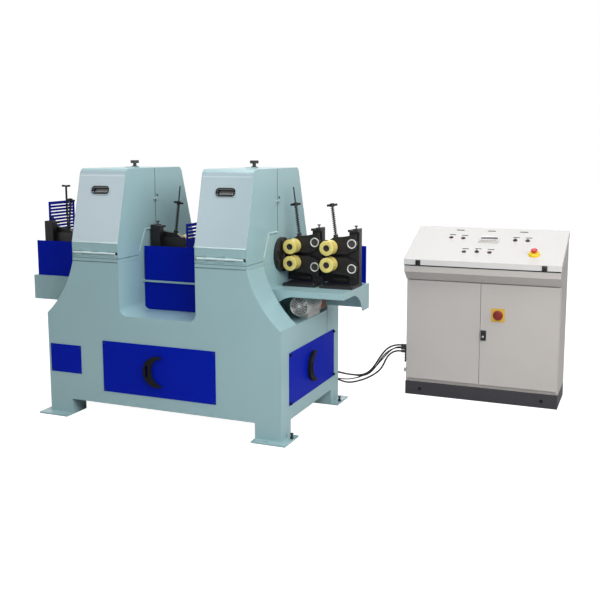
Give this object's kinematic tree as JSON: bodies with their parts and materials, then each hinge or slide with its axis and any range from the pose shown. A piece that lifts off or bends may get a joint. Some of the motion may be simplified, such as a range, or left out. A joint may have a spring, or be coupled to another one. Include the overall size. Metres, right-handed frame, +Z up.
{
  "type": "round bar sanding machine",
  "caption": "Belt sanding machine for round bars with tall hooded heads, sprung feed rollers on shelves and a separate control console.",
  "frame": {"origin": "centre of the four anchor holes in the base's foot plates, on the floor", "axes": "+X along the bar towards the console end, +Y away from the operator, +Z up"},
  "size_m": [3.929, 2.018, 1.9046],
  "materials": {
    "paint_teal": "semi-gloss light teal enamel",
    "paint_blue": "semi-gloss deep blue enamel",
    "steel_dark": "black oxide steel",
    "cast_grey": "grey painted castings",
    "steel_bright": "turned steel",
    "roller_yellow": "cast polyurethane",
    "case_grey": "light grey powder coat",
    "plinth_grey": "dark grey powder coat",
    "knob_black": "moulded black plastic",
    "fan_plastic": "moulded black plastic",
    "signal_red": "moulded red plastic",
    "button_white": "moulded white plastic",
    "gland_black": "black polyamide",
    "cable_black": "black cable sheath"
  },
  "bodies": {
    "machine": {"base_frame": "paint_teal", "levelling_bolts": "steel_dark", "hood_body_left": "paint_teal", "hood_body_right": "paint_teal", "shelf_left": "paint_teal", "shelf_right": "paint_teal", "guard_left": "paint_blue", "guard_right": "paint_blue", "guard_middle": "paint_blue", "head_flanges": "steel_dark", "head_drives": "cast_grey", "feed_motor": "cast_grey", "feed_frames": "steel_dark", "small_panel": "paint_blue", "console_cabinet": "case_grey", "console_plinth": "plinth_grey", "cable_glands": "gland_black", "control_cables": "cable_black"},
    "cover_left": {"cover_left": "paint_teal"},
    "star_knob_left": {"star_knob_left": "knob_black"},
    "head_left": {"head_left": "steel_bright"},
    "cover_right": {"cover_right": "paint_teal"},
    "star_knob_right": {"star_knob_right": "knob_black"},
    "head_right": {"head_right": "steel_bright"},
    "front_panel": {"front_panel": "paint_blue"},
    "end_panel": {"end_panel": "paint_blue"},
    "motor_fan": {"motor_fan": "fan_plastic"},
    "upper_arm_right_1": {"upper_arm_right_1": "steel_dark", "tension_spring_right_1": "steel_bright"},
    "upper_roller_right_1": {"upper_roller_right_1": "roller_yellow"},
    "lower_arm_right_1": {"lower_arm_right_1": "steel_dark"},
    "lower_roller_right_1": {"lower_roller_right_1": "roller_yellow"},
    "tension_screw_right_1": {"tension_screw_right_1": "steel_dark"},
    "upper_arm_right_2": {"upper_arm_right_2": "steel_dark", "tension_spring_right_2": "steel_bright"},
    "upper_roller_right_2": {"upper_roller_right_2": "roller_yellow"},
    "lower_arm_right_2": {"lower_arm_right_2": "steel_dark"},
    "lower_roller_right_2": {"lower_roller_right_2": "roller_yellow"},
    "tension_screw_right_2": {"tension_screw_right_2": "steel_dark"},
    "upper_arm_middle": {"upper_arm_middle": "steel_dark", "tension_spring_middle": "steel_bright"},
    "upper_roller_middle": {"upper_roller_middle": "roller_yellow"},
    "lower_arm_middle": {"lower_arm_middle": "steel_dark"},
    "lower_roller_middle": {"lower_roller_middle": "roller_yellow"},
    "tension_screw_middle": {"tension_screw_middle": "steel_dark"},
    "upper_arm_left": {"upper_arm_left": "steel_dark", "tension_spring_left": "steel_bright"},
    "upper_roller_left": {"upper_roller_left": "roller_yellow"},
    "lower_arm_left": {"lower_arm_left": "steel_dark"},
    "lower_roller_left": {"lower_roller_left": "roller_yellow"},
    "tension_screw_left": {"tension_screw_left": "steel_dark"},
    "console_lid": {"console_lid": "case_grey"},
    "door_left": {"door_left": "case_grey"},
    "door_right": {"door_right": "case_grey"},
    "door_handle": {"door_handle": "knob_black"},
    "main_switch": {"main_switch": "signal_red"},
    "start_button": {"start_button": "button_white"},
    "stop_button": {"stop_button": "signal_red"},
    "e_stop": {"e_stop": "signal_red"},
    "selector_switch": {"selector_switch": "knob_black"}
  },
  "joints": [
    {"name": "cover_left_hinge", "type": "hinge", "parent": "machine", "child": "cover_left", "pos_m": [-0.513, -0.573, 1.243], "axis": [1, 0, 0], "range_deg": [0, 70]},
    {"name": "star_knob_left_turn", "type": "hinge", "parent": "cover_left", "child": "star_knob_left", "pos_m": [-0.513, -0.014, 1.88], "axis": [0, 0, 1], "continuous": true},
    {"name": "head_left_spin", "type": "hinge", "parent": "machine", "child": "head_left", "pos_m": [-0.513, 0, 1.225], "axis": [1, 0, 0], "continuous": true},
    {"name": "cover_right_hinge", "type": "hinge", "parent": "machine", "child": "cover_right", "pos_m": [0.513, -0.573, 1.243], "axis": [1, 0, 0], "range_deg": [0, 70]},
    {"name": "star_knob_right_turn", "type": "hinge", "parent": "cover_right", "child": "star_knob_right", "pos_m": [0.513, -0.014, 1.88], "axis": [0, 0, 1], "continuous": true},
    {"name": "head_right_spin", "type": "hinge", "parent": "machine", "child": "head_right", "pos_m": [0.513, 0, 1.225], "axis": [1, 0, 0], "continuous": true},
    {"name": "front_panel_off", "type": "slide", "parent": "machine", "child": "front_panel", "axis": [0, -1, 0], "range_m": [0, 0.25]},
    {"name": "end_panel_off", "type": "slide", "parent": "machine", "child": "end_panel", "axis": [1, 0, 0], "range_m": [0, 0.25]},
    {"name": "motor_fan_spin", "type": "hinge", "parent": "machine", "child": "motor_fan", "pos_m": [0.942, -0.175, 0.883], "axis": [0, 1, 0], "continuous": true},
    {"name": "upper_arm_right_1_swing", "type": "hinge", "parent": "machine", "child": "upper_arm_right_1", "pos_m": [0.964, 0.07, 1.315], "axis": [0, 1, 0], "range_deg": [-2, 14]},
    {"name": "upper_roller_right_1_spin", "type": "hinge", "parent": "upper_arm_right_1", "child": "upper_roller_right_1", "pos_m": [0.804, 0, 1.286], "axis": [0, 1, 0], "continuous": true},
    {"name": "lower_arm_right_1_swing", "type": "hinge", "parent": "machine", "child": "lower_arm_right_1", "pos_m": [0.964, 0.07, 1.135], "axis": [0, 1, 0], "range_deg": [-14, 2]},
    {"name": "lower_roller_right_1_spin", "type": "hinge", "parent": "lower_arm_right_1", "child": "lower_roller_right_1", "pos_m": [0.804, 0, 1.164], "axis": [0, 1, 0], "continuous": true},
    {"name": "tension_screw_right_1_turn", "type": "hinge", "parent": "upper_arm_right_1", "child": "tension_screw_right_1", "pos_m": [0.8344, 0.07, 1.36], "axis": [-0.1288, 0, 0.9917], "continuous": true},
    {"name": "upper_arm_right_2_swing", "type": "hinge", "parent": "machine", "child": "upper_arm_right_2", "pos_m": [1.248, 0.07, 1.315], "axis": [0, 1, 0], "range_deg": [-2, 14]},
    {"name": "upper_roller_right_2_spin", "type": "hinge", "parent": "upper_arm_right_2", "child": "upper_roller_right_2", "pos_m": [1.088, 0, 1.286], "axis": [0, 1, 0], "continuous": true},
    {"name": "lower_arm_right_2_swing", "type": "hinge", "parent": "machine", "child": "lower_arm_right_2", "pos_m": [1.248, 0.07, 1.135], "axis": [0, 1, 0], "range_deg": [-14, 2]},
    {"name": "lower_roller_right_2_spin", "type": "hinge", "parent": "lower_arm_right_2", "child": "lower_roller_right_2", "pos_m": [1.088, 0, 1.164], "axis": [0, 1, 0], "continuous": true},
    {"name": "tension_screw_right_2_turn", "type": "hinge", "parent": "upper_arm_right_2", "child": "tension_screw_right_2", "pos_m": [1.1184, 0.07, 1.36], "axis": [-0.1288, 0, 0.9917], "continuous": true},
    {"name": "upper_arm_middle_swing", "type": "hinge", "parent": "machine", "child": "upper_arm_middle", "pos_m": [-0.255, -0.07, 1.315], "axis": [0, -1, 0], "range_deg": [-2, 14]},
    {"name": "upper_roller_middle_spin", "type": "hinge", "parent": "upper_arm_middle", "child": "upper_roller_middle", "pos_m": [-0.095, 0, 1.286], "axis": [0, 1, 0], "continuous": true},
    {"name": "lower_arm_middle_swing", "type": "hinge", "parent": "machine", "child": "lower_arm_middle", "pos_m": [-0.255, -0.07, 1.135], "axis": [0, -1, 0], "range_deg": [-14, 2]},
    {"name": "lower_roller_middle_spin", "type": "hinge", "parent": "lower_arm_middle", "child": "lower_roller_middle", "pos_m": [-0.095, 0, 1.164], "axis": [0, 1, 0], "continuous": true},
    {"name": "tension_screw_middle_turn", "type": "hinge", "parent": "upper_arm_middle", "child": "tension_screw_middle", "pos_m": [-0.1254, -0.07, 1.36], "axis": [0.1288, 0, 0.9917], "continuous": true},
    {"name": "upper_arm_left_swing", "type": "hinge", "parent": "machine", "child": "upper_arm_left", "pos_m": [-1.25, -0.07, 1.315], "axis": [0, -1, 0], "range_deg": [-2, 14]},
    {"name": "upper_roller_left_spin", "type": "hinge", "parent": "upper_arm_left", "child": "upper_roller_left", "pos_m": [-1.09, 0, 1.286], "axis": [0, 1, 0], "continuous": true},
    {"name": "lower_arm_left_swing", "type": "hinge", "parent": "machine", "child": "lower_arm_left", "pos_m": [-1.25, -0.07, 1.135], "axis": [0, -1, 0], "range_deg": [-14, 2]},
    {"name": "lower_roller_left_spin", "type": "hinge", "parent": "lower_arm_left", "child": "lower_roller_left", "pos_m": [-1.09, 0, 1.164], "axis": [0, 1, 0], "continuous": true},
    {"name": "tension_screw_left_turn", "type": "hinge", "parent": "upper_arm_left", "child": "tension_screw_left", "pos_m": [-1.1204, -0.07, 1.36], "axis": [0.1288, 0, 0.9917], "continuous": true},
    {"name": "console_lid_hinge", "type": "hinge", "parent": "machine", "child": "console_lid", "pos_m": [2.014, 1.377, 1.298], "axis": [-1, 0, 0], "range_deg": [0, 60]},
    {"name": "door_left_hinge", "type": "hinge", "parent": "machine", "child": "door_left", "pos_m": [1.425, 0.931, 0.54], "axis": [0, 0, -1], "range_deg": [0, 110]},
    {"name": "door_right_hinge", "type": "hinge", "parent": "machine", "child": "door_right", "pos_m": [2.603, 0.931, 0.54], "axis": [0, 0, 1], "range_deg": [0, 110]},
    {"name": "door_handle_turn", "type": "hinge", "parent": "door_right", "child": "door_handle", "pos_m": [2.038, 0.92, 0.534], "axis": [0, 1, 0], "range_deg": [0, 90]},
    {"name": "main_switch_turn", "type": "hinge", "parent": "door_right", "child": "main_switch", "pos_m": [2.147, 0.92, 0.703], "axis": [0, 1, 0], "range_deg": [0, 90]},
    {"name": "start_button_press", "type": "slide", "parent": "console_lid", "child": "start_button", "axis": [0, 0.3819, -0.9242], "range_m": [0, 0.003], "stiffness_N_per_m": 300, "springref_m": -0.003},
    {"name": "stop_button_press", "type": "slide", "parent": "console_lid", "child": "stop_button", "axis": [0, 0.3819, -0.9242], "range_m": [0, 0.003], "stiffness_N_per_m": 300, "springref_m": -0.003},
    {"name": "e_stop_press", "type": "slide", "parent": "console_lid", "child": "e_stop", "axis": [0, 0.3819, -0.9242], "range_m": [0, 0.006]},
    {"name": "selector_switch_turn", "type": "hinge", "parent": "console_lid", "child": "selector_switch", "pos_m": [1.9576, 0.99052, 1.1852], "axis": [0, -0.3819, 0.9242], "range_deg": [-45, 45]}
  ],
  "couplings": [
    {"joint": "lower_arm_right_1_swing", "follows": "upper_arm_right_1_swing", "ratio": -1},
    {"joint": "lower_roller_right_1_spin", "follows": "upper_roller_right_1_spin", "ratio": -1},
    {"joint": "lower_arm_right_2_swing", "follows": "upper_arm_right_2_swing", "ratio": -1},
    {"joint": "lower_roller_right_2_spin", "follows": "upper_roller_right_2_spin", "ratio": -1},
    {"joint": "lower_arm_middle_swing", "follows": "upper_arm_middle_swing", "ratio": -1},
    {"joint": "lower_roller_middle_spin", "follows": "upper_roller_middle_spin", "ratio": -1},
    {"joint": "lower_arm_left_swing", "follows": "upper_arm_left_swing", "ratio": -1},
    {"joint": "lower_roller_left_spin", "follows": "upper_roller_left_spin", "ratio": -1}
  ]
}
